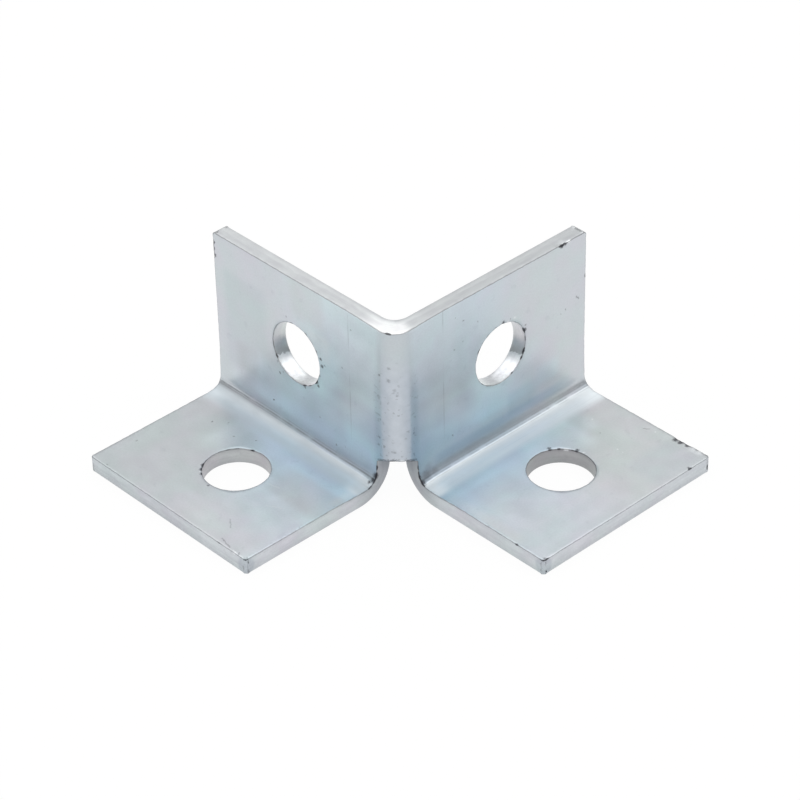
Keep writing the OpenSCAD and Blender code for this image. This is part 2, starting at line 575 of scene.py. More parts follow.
# Steps of a patch that starts before the sheet's edge, and of one that ends past it
FROM_EDGE = (-2, -1)
TO_EDGE = (80, 81)
# Painted reflections and shade, as soft lighter and darker patches over the plating
PAINTED_LIGHT_PATCHES = {
    Side.BOTH: (
        # painted bluish reflection on both sides of the bends
        PaintedLightPatch((*FROM_EDGE, 26, 48), (22.4, 36.4, 42.4, 56.4), (0.895, 0.965, 1.02)),
        # fold's top
        PaintedLightPatch((*FROM_EDGE, 2.5, 4), (*FROM_EDGE, 6, 12), (0.93, 0.955, 0.955)),
        # outer edges of both flanges
        PaintedLightPatch((6, 9, 27, 32), (67.5, 70.5, *TO_EDGE), (0.93, 0.93, 0.93)),
    ),
    Side.LEFT: (
        # left wall
        PaintedLightPatch((*FROM_EDGE, 4, 11), (8, 18, 34, 38), (0.91, 0.93, 0.95)),
        PaintedLightPatch((2, 5, 20, 36), (*FROM_EDGE, 30, 36), (1.08, 1.16, 1.155)),
        PaintedLightPatch((12, 18, 26, 36), (10, 18, 25, 30), (1.04, 1.09, 1.11)),
        PaintedLightPatch((3, 5, 13, 19), (3, 6, 13, 17), (1.09, 1.07, 1.07)),
        PaintedLightPatch((3, 5, 15, 21), (18.5, 22, 26, 30), (0.87, 0.84, 0.87)),
        PaintedLightPatch((12, 16, 23, 28), (23, 26, 31, 34), (0.9, 0.87, 0.88)),
        PaintedLightPatch((17, 19, 23, 25), (9, 11, 15, 17), (1.1, 1.05, 1.04)),
        PaintedLightPatch((25, 34, 39, 45), (22, 27, 33, 35), (1.12, 1.18, 1.18)),
        PaintedLightPatch((39, 41, 45, 48), (22, 25, 29, 31), (0.93, 0.93, 0.92)),
        PaintedLightPatch((3, 5, 47, 50), (29, 33, 36, 37.5), (1.08, 1.09, 1.1)),
        PaintedLightPatch((18, 21, 27, 31), (*FROM_EDGE, 7, 10), (0.95, 0.92, 0.91)),
        PaintedLightPatch((35, 39, 48, 51), (6, 9, 28, 33), (0.92, 0.95, 0.95)),
        # left flange
        PaintedLightPatch((*FROM_EDGE, 22, 36), (41.4, 45.4, 53.4, 67.4), (1.09, 1.13, 1.13)),
        PaintedLightPatch((20, 34, *TO_EDGE), (39, 44, *TO_EDGE), (0.84, 0.84, 0.825)),
        PaintedLightPatch((4, 5, 17, 23), (44, 46, 52, 55), (0.93, 0.88, 0.87)),
        PaintedLightPatch((14, 18, 28, 33), (58, 61, 63, 65.5), (0.93, 0.95, 0.93)),
        PaintedLightPatch((23, 30, 39, 43), (40, 43, 49, 55), (1.19, 1.2, 1.2)),
        PaintedLightPatch((14, 17, 20, 23), (49, 51, 53.5, 56), (1.06, 1.06, 1.07)),
        PaintedLightPatch((3, 4, 6, 8), (42, 43, 46, 49), (1.17, 1.1, 1.04)),
        PaintedLightPatch((5, 8, 24, 30), (60, 67, *TO_EDGE), (0.97, 0.95, 0.94)),
    ),
    Side.RIGHT: (
        # right wall
        PaintedLightPatch((*FROM_EDGE, 4, 11), (8, 18, 34, 38), (0.82, 0.86, 0.885)),
        PaintedLightPatch((2, 5, 20, 36), (*FROM_EDGE, 30, 36), (0.985, 1.05, 1.075)),
        PaintedLightPatch((*FROM_EDGE, 26, 38), (22, 31, 37, 38), (0.86, 0.875, 0.885)),
        PaintedLightPatch((16, 24, 33, 42), (16, 24, 30, 33), (1.15, 1.19, 1.19)),
        PaintedLightPatch((8, 11, 18, 22), (21, 23, 26, 29), (0.92, 0.91, 0.94)),
        PaintedLightPatch((29, 31, 36, 40), (28, 30, 33.5, 35), (0.86, 0.9, 0.92)),
        PaintedLightPatch((37, 40, 43, 46), (25, 28, 30, 32), (1, 1.08, 1.08)),
        PaintedLightPatch((3, 5, 11, 15), (17, 20, 25, 28), (0.91, 0.9, 0.9)),
        PaintedLightPatch((8, 11, 42, 48), (32.5, 34, 34.8, 35.8), (0.8, 0.85, 0.9)),
        PaintedLightPatch((3, 5, 14, 18), (*FROM_EDGE, 12, 16), (1.05, 1.03, 1.03)),
        # right flange
        PaintedLightPatch((*FROM_EDGE, 22, 36), (41.4, 45.4, 53.4, 67.4), (1.09, 1.13, 1.13)),
        PaintedLightPatch((20, 34, *TO_EDGE), (39, 44, *TO_EDGE), (0.91, 0.9, 0.875)),
        PaintedLightPatch((3, 4, 6, 8.5), (43, 45, 62, 66), (1.1, 1.05, 1.02)),
        PaintedLightPatch((8, 11, 18, 22), (44.5, 46.5, 50, 52.5), (0.93, 0.9, 0.91)),
        PaintedLightPatch((24, 30, 38, 42), (40, 43, 49, 54), (1.2, 1.24, 1.24)),
        PaintedLightPatch((36, 40, 49, 52), (60, 63, 69, 73), (0.95, 0.955, 0.98)),
        PaintedLightPatch((38, 40, 43, 46), (41, 43, 47, 50), (1.08, 1.1, 1.11)),
        PaintedLightPatch((6, 8, 30, 34), (52, 56, 62, 65), (1.06, 1.03, 1.03)),
    ),
}


class Blank:
    """The punched sheet before folding, as a closed mesh with broken edges."""

    cell: float = 0.55 * MM
    bend_cell: float = 0.3 * MM
    hole_margin: float = 3.0 * MM
    hole_rings: int = 7
    corner_r: float = 1.0 * MM
    corner_steps: int = 4
    front_break: float = 0.07 * MM
    front_steps: int = 2
    back_break: float = 0.16 * MM
    back_steps: int = 3
    edge_cuts: int = 4
    hole_coat: float = 0.06 * MM
    face_normal: float = 0.9
    weld: float = 0.001 * MM
    corner_reach: float = 0.01 * MM

    def __init__(self, press: Press) -> None:
        """Lay out the blank.

        Args:
            press: gives where the bends, edges and holes lie.
        """
        self.press = press
        self.hole_half = press.size.hole_r + self.hole_margin
        self.columns = [press.slot_edge, press.hole_x - self.hole_half,
                        press.hole_x + self.hole_half, press.free_end]
        self.rows = [0.0, press.wall_hole_y - self.hole_half, press.wall_hole_y + self.hole_half,
                     press.slot_top, press.bend_start, press.bend_end,
                     press.flange_hole_y - self.hole_half, press.flange_hole_y + self.hole_half,
                     press.flange_edge]
        self.holes = {
            Hole.LEFT_WALL: Vector((-press.hole_x, press.wall_hole_y, 0.0)),
            Hole.LEFT_FLANGE: Vector((-press.hole_x, press.flange_hole_y, 0.0)),
            Hole.RIGHT_WALL: Vector((press.hole_x, press.wall_hole_y, 0.0)),
            Hole.RIGHT_FLANGE: Vector((press.hole_x, press.flange_hole_y, 0.0)),
        }

    def tile(self, bm: BMesh, left: float, right: float, top: float, bottom: float) -> None:
        """Add one flat tile of cells to the blank.

        Args:
            bm: mesh of the blank.
            left: lowest x of the tile.
            right: highest x of the tile.
            top: lowest y of the tile.
            bottom: highest y of the tile.
        """
        in_bend = top > self.press.bend_start - self.weld and bottom < self.press.bend_end + self.weld
        middle = Matrix.Translation(((left + right) / 2, (top + bottom) / 2, 0.0))
        spread = Matrix.Diagonal((right - left, bottom - top, 1.0, 1.0))
        across = max(1, round((right - left) / self.cell))
        down = max(1, round((bottom - top) / (self.bend_cell if in_bend else self.cell)))
        bmesh.ops.create_grid(bm, x_segments=across, y_segments=down, size=0.5, matrix=middle @ spread)

    def has_hole(self, x: float, y: float) -> bool:
        """Say whether a hole's square lies round a point."""
        return any(abs(x - hole.x) < self.hole_half and abs(y - hole.y) < self.hole_half
                   for hole in self.holes.values())

    def lay_tiles(self, bm: BMesh) -> None:
        """Cover the outline with tiles, leaving the holes' squares open.

        Args:
            bm: mesh of the blank.
        """
        press = self.press
        for top, bottom in zip(self.rows, self.rows[1:]):
            if bottom <= press.slot_top + self.weld:
                self.tile(bm, -press.slot_edge, press.slot_edge, top, bottom)
            for near, far in zip(self.columns, self.columns[1:]):
                if self.has_hole((near + far) / 2, (top + bottom) / 2):
                    continue
                self.tile(bm, near, far, top, bottom)
                self.tile(bm, -far, -near, top, bottom)
        bmesh.ops.remove_doubles(bm, verts=bm.verts[:], dist=self.weld)

    def punch(self, bm: BMesh, centre: Vector) -> None:
        """Fill a hole's square with rings down to the round rim.

        Args:
            bm: mesh of the blank.
            centre: the hole's centre.
        """
        reach = self.hole_half + self.weld
        square = [edge for edge in bm.edges if edge.is_boundary and all(
            abs(vert.co.x - centre.x) < reach and abs(vert.co.y - centre.y) < reach for vert in edge.verts)]
        ring = bmesh.ops.extrude_edge_only(bm, edges=square)["geom"]
        rim = {part for part in ring if isinstance(part, BMVert)}
        radius = self.press.size.hole_r - self.hole_coat
        for vert in rim:
            offset = vert.co - centre
            side = round(math.atan2(offset.y, offset.x) / (math.pi / 2)) * math.pi / 2
            along = Matrix.Rotation(-side, 3, "Z") @ offset
            angle = side + along.y / along.x * math.pi / 4
            vert.co = centre + Vector((math.cos(angle), math.sin(angle), 0.0)) * radius
        radial = [edge for edge in bm.edges if (edge.verts[0] in rim) != (edge.verts[1] in rim)]
        bmesh.ops.subdivide_edges(bm, edges=radial, cuts=self.hole_rings - 1, use_grid_fill=True)

    def upright_edges(self, bm: BMesh, length: float) -> list[BMEdge]:
        """Find the edges that run through the sheet for more than a length."""
        return [edge for edge in bm.edges if abs(edge.verts[0].co.z - edge.verts[1].co.z) > length]

    def corner_edges(self, bm: BMesh) -> list[BMEdge]:
        """Find the upright edges at the blank's six outer corners.

        Args:
            bm: mesh of the thickened blank.

        Returns:
            The edges to round.
        """
        press = self.press
        corners = [Vector((side * x, y)) for side in (-1.0, 1.0)
                   for x, y in ((press.free_end, 0.0), (press.free_end, press.flange_edge),
                                (press.slot_edge, press.flange_edge))]
        return [edge for edge in self.upright_edges(bm, self.weld)
                if any((edge.verts[0].co.xy - corner).length < self.corner_reach for corner in corners)]

    def rim_edges(self, bm: BMesh, height: float) -> list[BMEdge]:
        """Find the sharp edges between a face of the sheet and its sides.

        Args:
            bm: mesh of the blank.
            height: z of the face.

        Returns:
            The edges all round the face and its holes.
        """
        bm.normal_update()
        level = [edge for edge in bm.edges
                 if all(abs(vert.co.z - height) <= self.weld for vert in edge.verts)]
        return [edge for edge in level
                if sum(abs(face.normal.z) > self.face_normal for face in edge.link_faces) == 1]

    def round_off(self, bm: BMesh, edges: list[BMEdge], width: float, steps: int) -> None:
        """Round some edges off over a width, in a number of steps."""
        bmesh.ops.bevel(bm, geom=edges, offset=width, offset_type="OFFSET", segments=steps,
                        profile=0.5, affect="EDGES", material=-1)

    def marks(self) -> list[Mark]:
        """List the marks on the straight edges and on the holes' rims."""
        return list(EDGE_MARKS) + [mark.on(self.holes[hole], self.press.size.hole_r)
                                   for hole, rim_marks in HOLE_MARKS.items() for mark in rim_marks]

    def build(self) -> BMesh:
        """Lay, punch and thicken the sheet, and break its edges.

        Returns:
            The blank's mesh.
        """
        bm = bmesh.new()
        self.lay_tiles(bm)
        for centre in self.holes.values():
            self.punch(bm, centre)
        thickness = self.press.size.sheet_t
        bmesh.ops.recalc_face_normals(bm, faces=bm.faces[:])
        bm.normal_update()
        bmesh.ops.solidify(bm, geom=bm.faces[:], thickness=thickness)
        lift = -max(vert.co.z for vert in bm.verts)
        bmesh.ops.translate(bm, verts=bm.verts[:], vec=(0.0, 0.0, lift))
        self.round_off(bm, self.corner_edges(bm), self.corner_r, self.corner_steps)
        self.round_off(bm, self.rim_edges(bm, 0.0), self.front_break, self.front_steps)
        self.round_off(bm, self.rim_edges(bm, -thickness), self.back_break, self.back_steps)
        upright = self.upright_edges(bm, thickness / 2)
        bmesh.ops.subdivide_edges(bm, edges=upright, cuts=self.edge_cuts, use_grid_fill=True)
        return bm


class Wear:
    """Ragged rims, nicks, burrs, stains and painted glints on the blank."""

    ragged: float = 0.11 * MM
    ragged_scale: float = 0.9
    ragged_top: float = 0.2
    mark_reach: float = 2.0
    mark_slack: float = 0.5
    mark_core: float = 0.25
    mark_fade: float = 1.4
    rough_mean: float = 0.7
    rough_swing: float = 0.6
    reach_down: float = 1.6 * MM
    rough_scale: float = 1.7
    broken_normal: float = 0.05

    def __init__(self, blank: Blank) -> None:
        """Keep the blank that the wear goes on."""
        self.blank = blank

    def rim_points(self, bm: BMesh) -> dict[BMVert, Vector]:
        """Find the points of the front rim and which way is off the metal there.

        Args:
            bm: mesh of the blank.

        Returns:
            The points with their directions.
        """
        bm.normal_update()
        half = -self.blank.press.size.sheet_t / 2
        found = {}
        for vert in bm.verts:
            slants = [abs(face.normal.z) for face in vert.link_faces]
            if vert.co.z < half or not any(self.broken_normal < slant < FLAT_NORMAL for slant in slants):
                continue
            sides = [face.normal for face in vert.link_faces if abs(face.normal.z) < FLAT_NORMAL]
            off = sum((Vector((normal.x, normal.y, 0.0)) for normal in sides), Vector())
            if off.length > 0.0:
                found[vert] = off.normalized()
        return found

    def apply(self, bm: BMesh) -> None:
        """Store the finishes' attributes and move the worn points.

        Args:
            bm: mesh of the blank.
        """
        layers = bm.verts.layers
        flat_layer = layers.float_vector.new(Trait.BLANK.value)
        rim_layer = layers.float.new(Trait.RIM.value)
        stain_and_glint_layer = layers.float.new(Trait.STAIN_AND_GLINT.value)
        rim = self.rim_points(bm)
        start = {vert: vert.co.copy() for vert in bm.verts}
        front = [vert for vert in bm.verts if vert.co.z > -self.reach_down]
        for vert, flat in start.items():
            vert[flat_layer] = flat / MM
        for vert, off in rim.items():
            vert[rim_layer] = 1.0
            jag = noise.noise(start[vert] / MM * self.ragged_scale)
            vert.co += off * self.ragged * (min(jag, self.ragged_top) - self.ragged_top)
        for mark in self.blank.marks():
            self.strike(mark, front, start, rim, stain_and_glint_layer)

    def strike(self, mark: Mark, front: list[BMVert], start: dict[BMVert, Vector],
               rim: dict[BMVert, Vector], stain_and_glint_layer: BMLayerItem) -> None:
        """Put one mark on the sheet.

        Args:
            mark: the nick, burr, dirty spot or painted glint.
            front: points near the front face.
            start: places of all points before any wear.
            rim: rim points with the direction off the metal.
            stain_and_glint_layer: layer that keeps the dirt, and the painted glints where it is negative.
        """
        middle = Vector((mark.x, mark.y)) * MM
        size = mark.size * MM
        off = Vector()
        if mark.push:
            off = rim[min(rim, key=lambda vert: (start[vert].xy - middle).length)]
        near = [vert for vert in front if (start[vert].xy - middle).length < self.mark_reach * size]
        if not near:
            return
        closest = min((start[vert].xy - middle).length for vert in near)
        for vert in near:
            gap = (start[vert].xy - middle).length - min(closest, self.mark_slack * size)
            share = 1.0 - smooth(self.mark_core * size, self.mark_fade * size, gap)
            down = 1.0 - smooth(0.0, self.reach_down, -start[vert].z)
            rough = self.rough_mean + self.rough_swing * noise.noise(start[vert] / MM * self.rough_scale)
            vert.co += off * mark.push * MM * share * down * rough
            vert.co.z += mark.lift * MM * share * down * rough
            if abs(mark.stain) * share > abs(vert[stain_and_glint_layer]):
                vert[stain_and_glint_layer] = mark.stain * share


class CornerConnector:
    """The whole folded sheet."""

    punched_reach: float = 0.5 * MM

    def __init__(self, size: SheetSizes) -> None:
        """Set up the press and the blank."""
        self.press = Press(size)
        self.blank = Blank(self.press)

    def skin_of(self, face: BMFace) -> Skin:
        """Choose the finish of a face of the blank.

        Args:
            face: face of the flat blank.

        Returns:
            The finish that it takes.
        """
        if abs(face.normal.z) > FLAT_NORMAL:
            return Skin.FACE
        centre = face.calc_center_median()
        near_hole = self.press.size.hole_r + self.punched_reach
        if any((centre.xy - hole.xy).length < near_hole for hole in self.blank.holes.values()):
            return Skin.PUNCHED
        return Skin.SHEARED

    def build(self) -> Object:
        """Make the blank, wear it, fold it and place it on the frame.

        Returns:
            The finished piece.
        """
        bm = self.blank.build()
        bm.normal_update()
        for face in bm.faces:
            face.material_index = self.skin_of(face).value
            face.smooth = True
        Wear(self.blank).apply(bm)
        for vert in bm.verts:
            vert.co = self.press.place(vert.co)
        bmesh.ops.recalc_face_normals(bm, faces=bm.faces[:])
        piece = settle(bm, "folded_sheet")
        weighted = piece.modifiers.new("flat_faces", "WEIGHTED_NORMAL")
        weighted.keep_sharp = True
        weighted.weight = 100
        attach(piece, BODY)
        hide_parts(NODE)
        return piece


class Wiring:
    """Shorthand for adding and joining nodes in one tree."""

    def __init__(self, tree: NodeTree) -> None:
        """Keep the tree."""
        self.tree = tree

    def add(self, kind: str, **settings: object) -> Node:
        """Add a node.

        Args:
            kind: Blender's name of the node type.
            **settings: properties to set on it.

        Returns:
            The node.
        """
        node = self.tree.nodes.new(kind)
        for name, value in settings.items():
            setattr(node, name, value)
        return node

    def feed(self, socket: NodeSocket, value: Input) -> None:
        """Join a socket to an output, or set its value.

        Args:
            socket: input of a node.
            value: output to join it to, or its value.
        """
        if isinstance(value, NodeSocket):
            self.tree.links.new(value, socket)
        else:
            socket.default_value = value

    def fill(self, node: Node, inputs: dict[str, Input]) -> Node:
        """Feed a node's inputs by name.

        Args:
            node: the node.
            inputs: outputs or values by the inputs' names.

        Returns:
            The node again.
        """
        for name, value in inputs.items():
            self.feed(node.inputs[name], value)
        return node

    def math(self, operation: str, *values: Input) -> NodeSocket:
        """Add a Math node.

        Args:
            operation: what it does.
            *values: numbers or outputs to work on.

        Returns:
            The result.
        """
        node = self.add("ShaderNodeMath", operation=operation)
        for socket, value in zip(node.inputs, values):
            self.feed(socket, value)
        return node.outputs[0]

    def minus(self, value: Input, other: Input) -> NodeSocket:
        """Take one value from another."""
        return self.math("SUBTRACT", value, other)

    def scaled(self, value: Input, factor: Input, added: Input) -> NodeSocket:
        """Multiply a value and add another."""
        return self.math("MULTIPLY_ADD", value, factor, added)

    def product(self, first: Input, *others: Input) -> NodeSocket:
        """Multiply values in their order.

        Args:
            first: first value.
            *others: factors on it.

        Returns:
            The product.
        """
        for other in others:
            first = self.math("MULTIPLY", first, other)
        return first

    def gap(self, value: Input, middle: Input) -> NodeSocket:
        """Give the distance of a value from a middle."""
        return self.math("ABSOLUTE", self.minus(value, middle))

    def ease(self, value: Input, low: float, high: float) -> NodeSocket:
        """Add a smooth step from 0 at low to 1 at high.

        Args:
            value: output to ease.
            low: value that gives 0.
            high: value that gives 1.

        Returns:
            The eased mask.
        """
        if low > high:
            return self.minus(1.0, self.ease(value, high, low))
        node = self.add("ShaderNodeMapRange", interpolation_type="SMOOTHSTEP")
        return self.fill(node, {"Value": value, "From Min": low, "From Max": high}).outputs["Result"]

    def span(self, value: Input, steps: Span) -> NodeSocket:
        """Add a soft mask that comes between the first two steps and goes between the last two."""
        return self.minus(self.ease(value, *steps[:2]), self.ease(value, *steps[2:]))

    def mix(self, share: Input, first: Input, second: Input, blend: str = "MIX") -> NodeSocket:
        """Mix two colours.

        Args:
            share: how much of the second colour.
            first: first colour.
            second: second colour.
            blend: how they are mixed.

        Returns:
            The mixed colour.
        """
        node = self.add("ShaderNodeMix", data_type="RGBA", blend_type=blend)
        colours = [socket for socket in node.inputs if socket.type == "RGBA"]
        self.feed(node.inputs[0], share)
        for socket, colour in zip(colours, (first, second)):
            self.feed(socket, (*colour, 1.0) if isinstance(colour, tuple) else colour)
        return next(socket for socket in node.outputs if socket.type == "RGBA")

    def greys(self, share: Input, first: float, second: float) -> NodeSocket:
        """Mix two greys."""
        return self.mix(share, (first,) * 3, (second,) * 3)

    def vector(self, operation: str, *values: Input, scale: Input = 1.0,
               output: str = "Vector") -> NodeSocket:
        """Add a Vector Math node.

        Args:
            operation: what it does.
            *values: vectors or outputs to work on.
            scale: factor of a scaling.
            output: name of the result to give.

        Returns:
            The result.
        """
        node = self.add("ShaderNodeVectorMath", operation=operation)
        for socket, value in zip(node.inputs, values):
            self.feed(socket, value)
        if operation == "SCALE":
            self.feed(node.inputs["Scale"], scale)
        return node.outputs[output]

    def noise(self, place: Input, scale: float, detail: float = 2.0,
              stretch: Triple = (1.0, 1.0, 1.0)) -> NodeSocket:
        """Add a noise pattern.

        Args:
            place: coordinates in millimetres of the blank.
            scale: waves in a millimetre.
            detail: octaves of finer noise.
            stretch: factors on the coordinates.

        Returns:
            The noise, around 0.5.
        """
        stretched = self.vector("MULTIPLY", place, stretch)
        inputs = {"Vector": stretched, "Scale": scale, "Detail": detail}
        return self.fill(self.add("ShaderNodeTexNoise"), inputs).outputs[0]

    def group(self, tree: NodeTree, inputs: dict[str, Input]) -> Node:
        """Add a node group with its inputs."""
        return self.fill(self.add("ShaderNodeGroup", node_tree=tree), inputs)


class FinishGroups:
    """Node groups that the three finishes share."""

    def __init__(self) -> None:
        """Build the groups."""
        self.plating = self.build_plating()
        self.soil_and_shade = self.build_soil_and_shade()
        self.fleck = self.build_fleck()
        self.scratch = self.build_scratch()

    def start(self, name: str, inputs: dict[str, str], outputs: dict[str, str]) \
            -> tuple[Wiring, list[NodeSocket], Node]:
        """Make an empty group.

        Args:
            name: the group's name.
            inputs: names and kinds of its inputs.
            outputs: names and kinds of its outputs.

        Returns:
            Its wiring, what it is given and its output node.
        """
        tree = bpy.data.node_groups.new(name, "ShaderNodeTree")
        for way, sockets in (("INPUT", inputs), ("OUTPUT", outputs)):
            for label, kind in sockets.items():
                tree.interface.new_socket(label, in_out=way, socket_type=kind)
        net = Wiring(tree)
        given = net.add("NodeGroupInput")
        return net, [given.outputs[label] for label in inputs], net.add("NodeGroupOutput")

    def build_plating(self) -> NodeTree:
        """Cloudy zinc with fine streaks: gives a tint, a gloss change and a surface height.

        Returns:
            The group.
        """
        net, (place, colour), result = self.start("zinc_plating", {"Place": VECTOR, "Colour": COLOUR},
                                                  {"Colour": COLOUR, "Gloss": NUMBER, "Height": NUMBER})
        cloud = net.ease(net.noise(place, 0.06, 3.0), 0.3, 0.7)
        patch = net.ease(net.noise(place, 0.25, 3.0), 0.35, 0.7)
        mottle = net.ease(net.noise(place, 0.13), 0.35, 0.65)
        smudge = net.ease(net.noise(place, 0.4, 4.0), 0.6, 0.74)
        grain = net.noise(place, 2.5, 3.0)
        tints = (
            net.mix(cloud, (0.985, 1.01, 1.0), (1.005, 0.985, 1.015)),
            net.mix(mottle, (1.01, 0.99, 1.005), (0.985, 1.01, 1.0)),
            net.mix(smudge, net.greys(patch, 0.98, 1.015), (0.93, 0.935, 0.94)),
            net.greys(net.ease(grain, 0.3, 0.7), 0.975, 1.02),
        )
        for tint in tints:
            colour = net.mix(1.0, colour, tint, "MULTIPLY")
        height = net.math("ADD", grain, net.noise(place, 0.5))
        net.fill(result, {"Colour": colour, "Gloss": net.minus(patch, 0.5), "Height": height})
        return net.tree

    def build_soil_and_shade(self) -> NodeTree:
        """Dark stains in nicks, a dark line along sharp rims that is partly dirt and partly painted shade
        under the burrs, and painted glints on bare bright burrs.

        Returns:
            The group.
        """
        net, (place, rim, stain), result = self.start(
            "rim_soil", {"Place": VECTOR, "Rim": NUMBER, "Stain": NUMBER}, {"Dark": NUMBER, "Bright": NUMBER})
        torn = net.minus(net.noise(place, 2.4, 3.0), 0.5)
        breaks = net.ease(net.noise(place, 0.45, 4.0), 0.32, 0.7)
        amount = net.math("MAXIMUM", stain, net.scaled(breaks, 0.25, 0.3))
        line = net.ease(net.scaled(net.scaled(torn, 0.5, amount), 0.5, rim), 1.02, 1.14)
        depth = net.scaled(net.ease(stain, 0.2, 0.7), 0.47, 0.36)
        bare = net.ease(net.scaled(torn, 0.8, net.product(stain, -1.0)), 0.35, 0.6)
        net.fill(result, {"Dark": net.product(line, depth),
                          "Bright": net.product(bare, net.ease(rim, 0.3, 0.7))})
        return net.tree

    def build_fleck(self) -> NodeTree:
        """One fleck: a mask round a point.

        Returns:
            The group.
        """
        net, (place, centre, width, depth), result = self.start(
            "fleck", {"Place": VECTOR, "Start": VECTOR, "Width": NUMBER, "Depth": NUMBER}, {"Mask": NUMBER})
        share = net.math("DIVIDE", net.vector("DISTANCE", place, centre, output="Value"), width)
        net.fill(result, {"Mask": net.product(net.ease(share, 1.05, 0.2), depth)})
        return net.tree

    def build_scratch(self) -> NodeTree:
        """One straight scratch: a mask round a short line.

        Returns:
            The group.
        """
        net, (place, start, along, length, width, depth), result = self.start(
            "scratch", {"Place": VECTOR, "Start": VECTOR, "Along": VECTOR, "Length": NUMBER,
                        "Width": NUMBER, "Depth": NUMBER}, {"Mask": NUMBER})
        offset = net.vector("SUBTRACT", place, start)
        way = net.vector("DOT_PRODUCT", offset, along, output="Value")
        way = net.math("MINIMUM", net.math("MAXIMUM", way, 0.0), length)
        nearest = net.vector("SCALE", along, scale=way)
        share = net.math("DIVIDE", net.vector("DISTANCE", offset, nearest, output="Value"), width)
        net.fill(result, {"Mask": net.product(net.ease(share, 1.0, 0.5), depth)})
        return net.tree


class Surface:
    """A material under way: its tree, the places on the blank in millimetres and the shader's layers."""

    gloss: float = 0.06

    def __init__(self, tree: NodeTree, groups: FinishGroups, colour: Colour, roughness: float) -> None:
        """Read the blank's attributes and lay the plating.

        Args:
            tree: tree of the material.
            groups: shared node groups.
            colour: colour of the plating.
            roughness: roughness of the plating.
        """
        self.net = net = Wiring(tree)
        self.groups = groups
        self.place, rim, stain = (
            net.add("ShaderNodeAttribute", attribute_name=trait.value).outputs[name]
            for trait, name in ((Trait.BLANK, "Vector"), (Trait.RIM, "Fac"), (Trait.STAIN_AND_GLINT, "Fac")))
        axes = net.fill(net.add("ShaderNodeSeparateXYZ"), {"Vector": self.place})
        self.x, self.down, self.depth = axes.outputs
        self.along = net.math("ABSOLUTE", self.x)
        self.right = net.ease(self.x, -1.0, 1.0)
        self.left = net.minus(1.0, self.right)
        plating = net.group(groups.plating, {"Place": self.place, "Colour": (*colour, 1.0)})
        self.soil_and_shade = net.group(groups.soil_and_shade, {"Place": self.place, "Rim": rim, "Stain": stain})
        self.colour = plating.outputs["Colour"]
        self.rough = net.scaled(plating.outputs["Gloss"], self.gloss, roughness)
        self.height = plating.outputs["Height"]
        self.metal = 1.0

    def noise(self, scale: float, detail: float = 2.0, stretch: Triple = (1.0, 1.0, 1.0)) -> NodeSocket:
        """Add a noise pattern over the blank."""
        return self.net.noise(self.place, scale, detail, stretch)

    def paint(self, share: Input, colour: Input) -> None:
        """Cover the colour so far with another where a mask says."""
        self.colour = self.net.mix(share, self.colour, colour)

    def tint(self, share: Input, factors: Input) -> None:
        """Multiply the colour so far by factors where a mask says."""
        self.colour = self.net.mix(share, self.colour, factors, "MULTIPLY")

    def mark_mask(self, place: NodeSocket, mark: Fleck | Scratch) -> NodeSocket:
        """Place the group of one fleck or scratch.

        Args:
            place: place on the blank, with ragged steps.
            mark: the fleck or scratch.

        Returns:
            Its mask.
        """
        start = Vector((mark.x, mark.y, 0.0))
        values = {"Place": place, "Start": start, "Width": mark.width, "Depth": abs(mark.depth)}
        if isinstance(mark, Fleck):
            return self.net.group(self.groups.fleck, values).outputs["Mask"]
        way = Vector((mark.to_x, mark.to_y, 0.0)) - start
        values |= {"Along": way.normalized(), "Length": way.length}
        return self.net.group(self.groups.scratch, values).outputs["Mask"]


@dataclass(frozen=True)
class Finish:
    """A zinc-plated surface with its wear, painted glints and painted shade along its rims."""

    name: str
    colour: Colour
    roughness: float
    soil_and_shade_colour: Colour = (0.05, 0.05, 0.06)
    burr_glint_colour: Colour = (0.78, 0.8, 0.82)
    marks: tuple[Fleck | Scratch, ...] = ()
    ragged_scale: float = 3.0
    ragged: float = 0.75
    soil_rough: float = 0.25
    bump: float = 0.25
    bump_height: float = 0.02 * MM

    def detail(self, on: Surface) -> None:
        """Add what only this surface has; a plain surface adds nothing."""

    def add_marks(self, on: Surface) -> None:
        """Add the single flecks and scratches, with ragged outlines: dark ones as dirt, bright ones as
        painted glints.

        Args:
            on: the surface, which changes.
        """
        net = on.net
        torn = net.fill(net.add("ShaderNodeTexNoise"), {"Vector": on.place, "Scale": self.ragged_scale})
        shift = net.vector("SUBTRACT", torn.outputs["Color"], (0.5, 0.5, 0.5))
        ragged = net.vector("ADD", on.place, net.vector("SCALE", shift, scale=self.ragged))
        # Dark marks are dirt; bright ones are painted glints
        for dark, colour in ((True, self.soil_and_shade_colour), (False, self.burr_glint_colour)):
            total = 0.0
            for mark in self.marks:
                if (mark.depth > 0.0) == dark:
                    total = net.math("MAXIMUM", on.mark_mask(ragged, mark), total)
            on.paint(total, colour)

    def material(self, groups: FinishGroups) -> Material:
        """Build the node material.

        Args:
            groups: shared node groups.

        Returns:
            The material.
        """
        material = bpy.data.materials.new(self.name)
        material.use_nodes = True
        on = Surface(material.node_tree, groups, self.colour, self.roughness)
        net = on.net
        self.detail(on)
        dark = on.soil_and_shade.outputs["Dark"]
        # Painted glints on bare burrs
        on.paint(on.soil_and_shade.outputs["Bright"], self.burr_glint_colour)
        self.add_marks(on)
        # Dark dirt in nicks and the rim line, partly painted shade under the burrs
        on.paint(dark, self.soil_and_shade_colour)
        bump = net.fill(net.add("ShaderNodeBump"), {"Strength": self.bump, "Distance": self.bump_height,
                                                    "Height": on.height})
        net.fill(net.tree.nodes["Principled BSDF"], {
            "Base Color": on.colour,
            "Roughness": net.scaled(dark, self.soil_rough, on.rough),
            "Normal": bump.outputs["Normal"],
            "Metallic": on.metal,
        })
        return material


